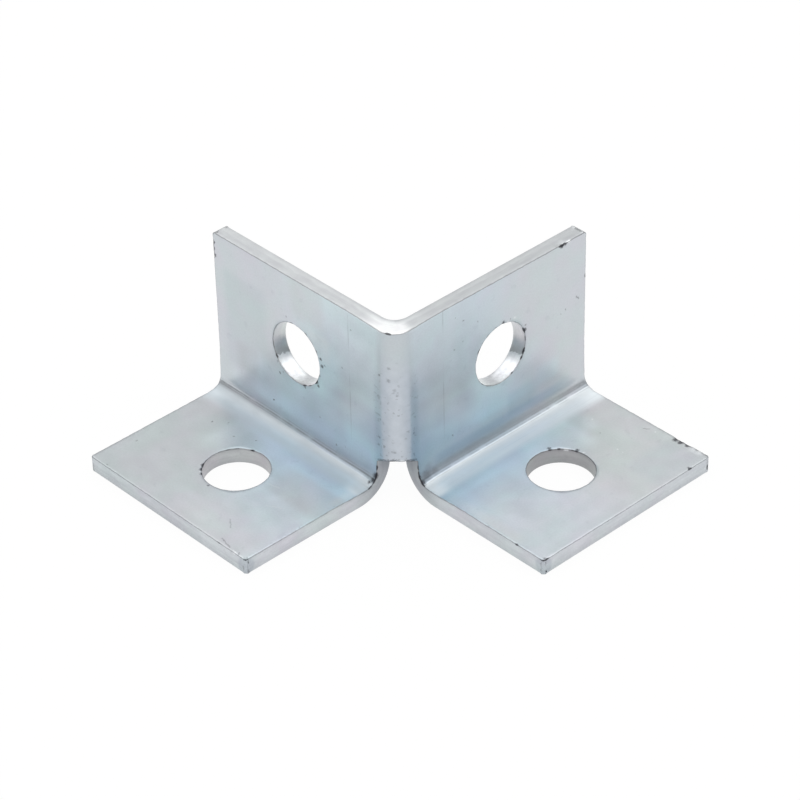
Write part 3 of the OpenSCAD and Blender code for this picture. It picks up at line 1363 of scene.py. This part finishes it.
@dataclass(frozen=True)
class RolledFace(Finish):
    """The sheet's two faces: the fold's pitted strip, the press's lines, the bends dulled by the press's
    rubbing, and painted highlights, reflections and shade.
    """

    fold_half: float = 3.14
    slot_edge: float = 4.74
    bend_line: float = 37.0
    bend_end: float = 41.4
    die_line: float = 12.2
    dull_steps: Span = (-1.0, 2.0, 16.0, 28.0)
    dull_metal: float = 0.1
    slot_highlight_dullness: float = 5.0
    rub_steps: Span = (0.0, 0.6, 3.4, 6.0)
    crease_steps: Span = (-0.9, -0.4, -0.1, 0.25)
    die_depth: float = 0.25
    speck_depth: float = 0.4
    pit_depth: float = 0.45
    lump_height: float = 2.5
    pit_height: float = 2.0
    strip_colour: Colour = (0.61, 0.655, 0.71)
    pit_colour: Colour = (0.2, 0.22, 0.24)
    # Band beside each bend: painted highlight on the right, painted shade near the left bend
    rub_highlight_colour: Colour = (0.65, 0.69, 0.715)
    rub_left_shade_colour: Colour = (0.485, 0.53, 0.56)
    rub_outer_highlight: Colour = (1.22, 1.22, 1.22)
    rub_rough: float = 0.16
    strip_rough: float = 0.2
    line_colour: Colour = (0.16, 0.18, 0.2)
    # Painted shade in the right bend's crease, and on the walls beside the fold
    crease_shade_tint: Colour = (0.5, 0.52, 0.54)
    beside_fold_shade_tint: Colour = (0.84, 0.87, 0.88)
    bend_lines: tuple[Triple, ...] = ((0.0, 0.22, 0.45), (-0.55, 0.2, 0.2), (0.5, 0.16, 0.2))

    def detail(self, on: Surface) -> None:
        """Add the marks that folding left, with painted reflections, highlights and shade.

        Args:
            on: the surface, which changes.
        """
        wobble = on.net.minus(on.noise(1.3), 0.5)
        self.reflections_and_dullness(on)
        self.bends(on, wobble)
        self.fold(on, wobble)

    def reflections_and_dullness(self, on: Surface) -> None:
        """Add the patches of painted reflection and shade, the duller, less metallic flanges and the painted
        highlight beside the slot.

        Args:
            on: the surface, which changes.
        """
        net = on.net
        halves = {Side.BOTH: 1.0, Side.LEFT: on.left, Side.RIGHT: on.right}
        # Painted reflections and shade, patch by patch
        for side, patches in PAINTED_LIGHT_PATCHES.items():
            for patch in patches:
                area = net.product(net.span(on.along, patch.along), net.span(on.down, patch.down))
                on.tint(net.product(area, halves[side]), patch.tint)
        end = self.bend_end
        dull = net.span(net.minus(on.down, end), self.dull_steps)
        # Painted highlight on the flange beside the slot's end: bright colour on less metallic plating
        by_slot = net.product(net.ease(on.along, self.slot_edge + 4.5, self.slot_edge + 1.0),
                              net.span(on.down, (self.bend_line + 0.6, self.bend_line + 1.6, end, end + 2.0)))
        on.paint(by_slot, self.burr_glint_colour)
        on.metal = net.scaled(net.scaled(by_slot, self.slot_highlight_dullness, dull), -self.dull_metal, 1.0)

    def bends(self, on: Surface, wobble: NodeSocket) -> None:
        """Add the strip beside each bend that the press's rubbing dulled, painted as a highlight on the right
        and as shade near the left bend, the dark lines in the bend, and painted shade in the right bend's
        crease.

        Args:
            on: the surface, which changes.
            wobble: fine noise round 0.
        """
        net = on.net
        skew = net.product(on.left, net.scaled(net.ease(on.along, 14.0, 40.0), -0.45, -0.4))
        past = net.minus(on.down, net.math("ADD", skew, self.bend_line + 0.4))
        streak = net.ease(on.noise(1.0, 2.0, (0.05, 4.0, 1.0)), 0.2, 0.6)
        rubbed_and_lit = net.span(past, self.rub_steps)
        # Painted highlight on the right band, brighter away from the bend, and painted shade near the left
        # bend
        rub_light = net.mix(on.left, self.rub_highlight_colour, self.rub_left_shade_colour)
        rub_light = net.mix(net.ease(past, 0.9, 2.8), rub_light, self.rub_outer_highlight, "MULTIPLY")
        on.paint(net.product(rubbed_and_lit, net.scaled(streak, 0.25, 0.75)), rub_light)
        on.rough = net.scaled(rubbed_and_lit, self.rub_rough, on.rough)
        breaks = net.ease(on.noise(0.3), 0.25, 0.55)
        for offset, width, depth in self.bend_lines:
            away = net.gap(net.scaled(on.left, 0.4, past), offset)
            line = net.ease(net.scaled(wobble, 0.12, away), width, 0.3 * width)
            on.paint(net.product(line, breaks, depth), self.line_colour)
        # Painted shade in the right bend's crease
        crease = net.span(past, self.crease_steps)
        on.tint(net.product(crease, net.scaled(on.left, -0.55, 0.55)), self.crease_shade_tint)

    def fold(self, on: Surface, wobble: NodeSocket) -> None:
        """Add the faint die line on each wall, painted shade with specks on the walls beside the fold, and
        the dull pitted strip on the fold.

        Args:
            on: the surface, which changes.
            wobble: fine noise round 0.
        """
        net = on.net
        die = net.product(net.ease(net.gap(on.along, self.die_line), 0.22, 0.05),
                          net.ease(on.down, 33.0, 24.0), net.ease(on.noise(0.12), 0.42, 0.6), self.die_depth)
        on.paint(die, self.line_colour)
        # Painted shade on the walls beside the fold; specks lie in the same band
        beside = net.product(net.ease(net.gap(on.along, self.fold_half + 1.0), 1.7, 0.2),
                             net.ease(on.down, 8.0, 17.0))
        on.tint(beside, self.beside_fold_shade_tint)
        specks = net.ease(on.noise(1.1, 3.0), 0.56, 0.68)
        on.paint(net.product(beside, specks, self.speck_depth), self.line_colour)
        strip = net.product(
            net.ease(net.scaled(wobble, 0.7, on.along), self.fold_half + 0.4, self.fold_half - 0.5),
            net.ease(on.down, 3.0, 13.0))
        pits = net.product(net.ease(on.noise(0.85, 3.0, (1.0, 1.3, 1.0)), 0.58, 0.7),
                           net.ease(on.noise(0.25), 0.4, 0.6))
        lumps = on.noise(0.5, 3.0)
        cloudy = net.mix(net.ease(lumps, 0.3, 0.7), (0.955, 0.96, 0.965), (1.045, 1.04, 1.04))
        on.paint(strip, net.mix(1.0, cloudy, self.strip_colour, "MULTIPLY"))
        pitted = net.product(strip, pits)
        on.paint(net.product(pitted, self.pit_depth), self.pit_colour)
        on.rough = net.scaled(strip, self.strip_rough, on.rough)
        lumpy = net.scaled(net.product(strip, lumps), self.lump_height, on.height)
        on.height = net.minus(lumpy, net.product(pitted, self.pit_height))


@dataclass(frozen=True)
class CutEdge(Finish):
    """A sheared or punched wall: a smooth band near the back and torn metal near the front."""

    top_colour: Colour = (0.63, 0.65, 0.66)
    top_right_colour: Colour = (0.56, 0.58, 0.59)
    # The fold's top edge gets a painted highlight
    fold_top_highlight_colour: Colour = (0.86, 0.87, 0.87)
    # Painted shade on the cut edges inside the slot
    slot_shade_tint: Colour = (0.73, 0.73, 0.74)
    left_end_tint: Colour = (0.93, 0.935, 0.94)
    front_corner: Triple = (5.0, 71.2, 1.75)
    corner_tint: Colour = (0.84, 0.85, 0.88)
    torn_tint: Colour = (0.88, 0.88, 0.89)
    back_tint: Colour = (0.84, 0.845, 0.85)
    # Painted shade in the right flange hole
    right_hole_shade_tint: Colour = (0.75, 0.75, 0.75)
    slot_steps: Span = (29.0, 31.0, 37.0, 44.0)
    band: float = -2.1
    back_band: float = -2.0
    torn_rough: float = 0.08
    lit_hole_walls: bool = False
    zone_top: float = 15.5
    zone_turn: float = 21.2
    zone_end: float = 24.6

    def detail(self, on: Surface) -> None:
        """Add the brighter top edge, darker on the right and with a painted highlight at the fold, painted
        shade inside the slot, the torn zone and streaks along the edge.

        Args:
            on: the surface, which changes.
        """
        net = on.net
        on_top = net.ease(on.down, 3.0, 1.0)
        from_fold = net.product(on.along, net.scaled(on.right, 0.45, 0.55))
        # Painted highlight on the top edge at the fold
        fold_top_highlight = net.product(net.ease(from_fold, 5.5, 2.0), net.ease(on.depth, -3.3, -1.5))
        top_shade = net.mix(on.right, self.top_colour, self.top_right_colour)
        on.paint(on_top, net.mix(fold_top_highlight, top_shade, self.fold_top_highlight_colour))
        # Painted shade on the cut edges inside the slot
        slot_shade = net.product(net.ease(on.along, 6.5, 5.5), net.span(on.down, self.slot_steps))
        on.tint(slot_shade, self.slot_shade_tint)
        left_end = net.product(net.ease(on.x, -16.0, -26.0), net.ease(on.down, 66.0, 70.0))
        on.tint(left_end, self.left_end_tint)
        either_side = net.vector("ABSOLUTE", on.place)
        from_corner = net.vector("DISTANCE", either_side, self.front_corner, output="Value")
        on.tint(net.ease(from_corner, 2.4, 1.6), self.corner_tint)
        level = net.scaled(net.minus(on.noise(0.3, 3.0), 0.5), 1.2, on.depth)
        torn = net.ease(level, self.band - 0.1, self.band + 0.2)
        streaks = on.noise(1.0, 2.0, (0.12, 0.12, 3.0))
        grain = on.noise(1.6)
        blotch = net.ease(on.noise(0.5, 3.0, (0.5, 0.5, 1.4)), 0.35, 0.65)
        on.tint(1.0, net.mix(blotch, (0.965, 0.96, 0.97), (1.035, 1.04, 1.035)))
        on.tint(torn, net.mix(streaks, self.torn_tint, (1.02, 1.02, 1.02)))
        if self.lit_hole_walls:
            self.hole_wall_light(on, grain)
        at_back = net.ease(level, self.back_band + 0.9, self.back_band - 0.9)
        sides = net.mix(at_back, (1.0, 1.0, 1.0), self.back_tint)
        on.tint(1.0, net.mix(on_top, sides, net.greys(at_back, 0.95, 1.03)))
        on.rough = net.scaled(torn, self.torn_rough, on.rough)
        on.height = net.math("ADD", net.product(torn, grain), on.height)

    def hole_wall_light(self, on: Surface, grain: NodeSocket) -> None:
        """Add the brighter and darker parts round the wall holes as painted highlights and shade, and painted
        shade in the right flange hole.

        Args:
            on: the surface, which changes.
            grain: fine noise that makes the parts' ends ragged.
        """
        net = on.net
        ragged = net.scaled(on.depth, 0.2, net.scaled(net.minus(grain, 0.5), 1.2, on.down))
        upper = net.ease(ragged, self.zone_top + 0.8, self.zone_top - 0.8)
        turned = net.ease(ragged, self.zone_turn - 0.15, self.zone_turn + 0.15)
        ended = net.ease(ragged, self.zone_end - 1.5, self.zone_end + 1.0)
        # Painted light on the wall holes' walls: lighter at the top, fading to plain, then a white painted
        # highlight band, then plain
        hole_light = net.mix(net.ease(ragged, self.zone_top, self.zone_turn), (1.38, 1.37, 1.36), (1.0, 1.0, 1.0))
        hole_light = net.mix(upper, hole_light, (1.42, 1.42, 1.42))
        on.tint(net.ease(on.down, 40.0, 30.0), net.mix(turned, hole_light, net.greys(ended, 1.75, 0.98)))
        # Painted shade in the right flange hole
        on.tint(net.product(net.ease(on.down, 40.0, 44.0), on.right), self.right_hole_shade_tint)


@dataclass(frozen=True)
class PhotoCamera:
    """The camera of the photograph, round a point on its axis."""

    azimuth: float = math.radians(-42.62)
    elevation: float = math.radians(35.87)
    roll: float = math.radians(-1.36)
    distance: float = 632.4 * MM
    aim: Triple = (-0.7 * MM, -1.4 * MM, 18.6 * MM)
    focal_px: float = 3191.0
    frame_px: float = 800.0
    sensor_mm: float = 36.0
    nearest: float = 10.0 * MM
    farthest: float = 20.0

    def build(self) -> None:
        """Place the camera and make it the scene's own."""
        data = bpy.data.cameras.new("photo_camera")
        data.sensor_width = self.sensor_mm
        data.lens = self.focal_px / self.frame_px * self.sensor_mm
        data.clip_start = self.nearest
        data.clip_end = self.farthest
        camera = bpy.data.objects.new("photo_camera", data)
        turn = Euler((math.pi / 2 - self.elevation, 0.0, self.azimuth)).to_matrix()
        turn = turn @ Matrix.Rotation(self.roll, 3, "Z")
        eye = Vector(self.aim) + turn @ Vector((0.0, 0.0, self.distance))
        camera.matrix_world = Matrix.Translation(eye) @ turn.to_4x4()
        bpy.context.scene.collection.objects.link(camera)
        bpy.context.scene.camera = camera


@dataclass(frozen=True)
class SoftPatch:
    """A soft brighter or darker part of the surround, round a direction, with its angles in degrees."""

    towards: Triple
    outer: float
    inner: float
    strength: float


class Studio:
    """Plain pale floor, white surround and soft light."""

    floor_half: float = 2.5
    floor_colour: Colour = (0.9, 0.89, 0.88)
    surround: float = 0.47
    floor_seen: float = 0.95
    floor_mirrored: float = 0.7
    patches: tuple[SoftPatch, ...] = (
        SoftPatch((0.0, 0.0, 1.0), 60.5, 47.0, 0.8),
        SoftPatch((0.0, 0.0, 1.0), 42.0, 20.0, 0.35),
        SoftPatch((0.511, -0.47, 0.72), 22.0, 13.0, 0.45),
        SoftPatch((-0.511, 0.47, 0.72), 22.0, 13.0, 0.38),
        SoftPatch((0.36, 0.39, 0.85), 18.0, 8.0, 0.45),
        SoftPatch((0.67, 0.728, 0.14), 24.0, 12.0, 0.45),
    )

    def floor(self) -> None:
        """Lay the floor: white to the eye and pale in reflections, with the object's faint shadow."""
        bm = bmesh.new()
        bmesh.ops.create_grid(bm, x_segments=1, y_segments=1, size=self.floor_half)
        floor = settle(bm, "floor")
        material = bpy.data.materials.new("white_floor")
        material.use_nodes = True
        net = Wiring(material.node_tree)
        net.tree.nodes.remove(net.tree.nodes["Principled BSDF"])
        matte = net.fill(net.add("ShaderNodeBsdfDiffuse"), {"Color": (*self.floor_colour, 1.0)})
        glow = net.fill(net.add("ShaderNodeEmission"), {"Strength": 1.0})
        path = net.add("ShaderNodeLightPath").outputs
        seen = net.product(path["Is Camera Ray"], self.floor_seen)
        bounced = net.math("MAXIMUM", path["Is Glossy Ray"], path["Is Transmission Ray"])
        blend = net.add("ShaderNodeMixShader")
        share = net.math("MAXIMUM", seen, net.product(bounced, self.floor_mirrored))
        for socket, value in zip(blend.inputs, (share, matte.outputs["BSDF"], glow.outputs["Emission"])):
            net.feed(socket, value)
        net.feed(net.tree.nodes["Material Output"].inputs["Surface"], blend.outputs["Shader"])
        floor.data.materials.append(material)

    def world(self) -> None:
        """Set the surround: white to the eye, with soft bright and dim parts as light."""
        world = bpy.data.worlds.new("studio")
        world.use_nodes = True
        net = Wiring(world.node_tree)
        direction = net.add("ShaderNodeTexCoord").outputs["Generated"]
        light = self.surround
        for patch in self.patches:
            facing = net.vector("DOT_PRODUCT", direction, Vector(patch.towards).normalized(), output="Value")
            share = net.ease(facing, math.cos(math.radians(patch.outer)), math.cos(math.radians(patch.inner)))
            light = net.scaled(share, patch.strength, light)
        seen = net.add("ShaderNodeLightPath").outputs["Is Camera Ray"]
        net.fill(net.tree.nodes["Background"], {"Color": (1.0, 1.0, 1.0, 1.0),
                                                "Strength": net.math("MAXIMUM", light, seen)})
        bpy.context.scene.world = world

    def build(self) -> None:
        """Build the floor and the surround."""
        self.floor()
        self.world()
        bpy.context.scene.view_settings.view_transform = "Standard"


def main() -> None:
    """Build the connector and its studio."""
    logging.basicConfig(level=logging.INFO, format="%(name)s: %(message)s")
    PhotoCamera().build()
    Studio().build()
    connector = CornerConnector(SheetSizes.from_frame())
    sheet = connector.build()
    press = connector.press
    groups = FinishGroups()
    # Flecks at the edge marks: dark dirt, and painted glints where a mark's darkness is negative
    edge_flecks = tuple(Fleck(mark.x, mark.y, mark.spot, EDGE_FLECK_DEPTH * mark.stain)
                        for mark in connector.blank.marks() if mark.spot > 0.0)
    finishes = (
        RolledFace("zinc_face", (0.6, 0.633, 0.66), 0.33, marks=FACE_FLECKS + edge_flecks + FACE_SCRATCHES,
                   fold_half=press.fold_half / MM, slot_edge=press.slot_edge / MM,
                   bend_line=press.bend_line / MM, bend_end=press.bend_end / MM),
        CutEdge("sheared_edge", (0.68, 0.71, 0.73), 0.38, marks=edge_flecks),
        CutEdge("punched_wall", (0.555, 0.565, 0.57), 0.32, marks=edge_flecks, lit_hole_walls=True),
    )
    for finish in finishes:
        sheet.data.materials.append(finish.material(groups))
    LOG.info("folded sheet: %d faces", len(sheet.data.polygons))


if __name__ == "__main__":
    main()
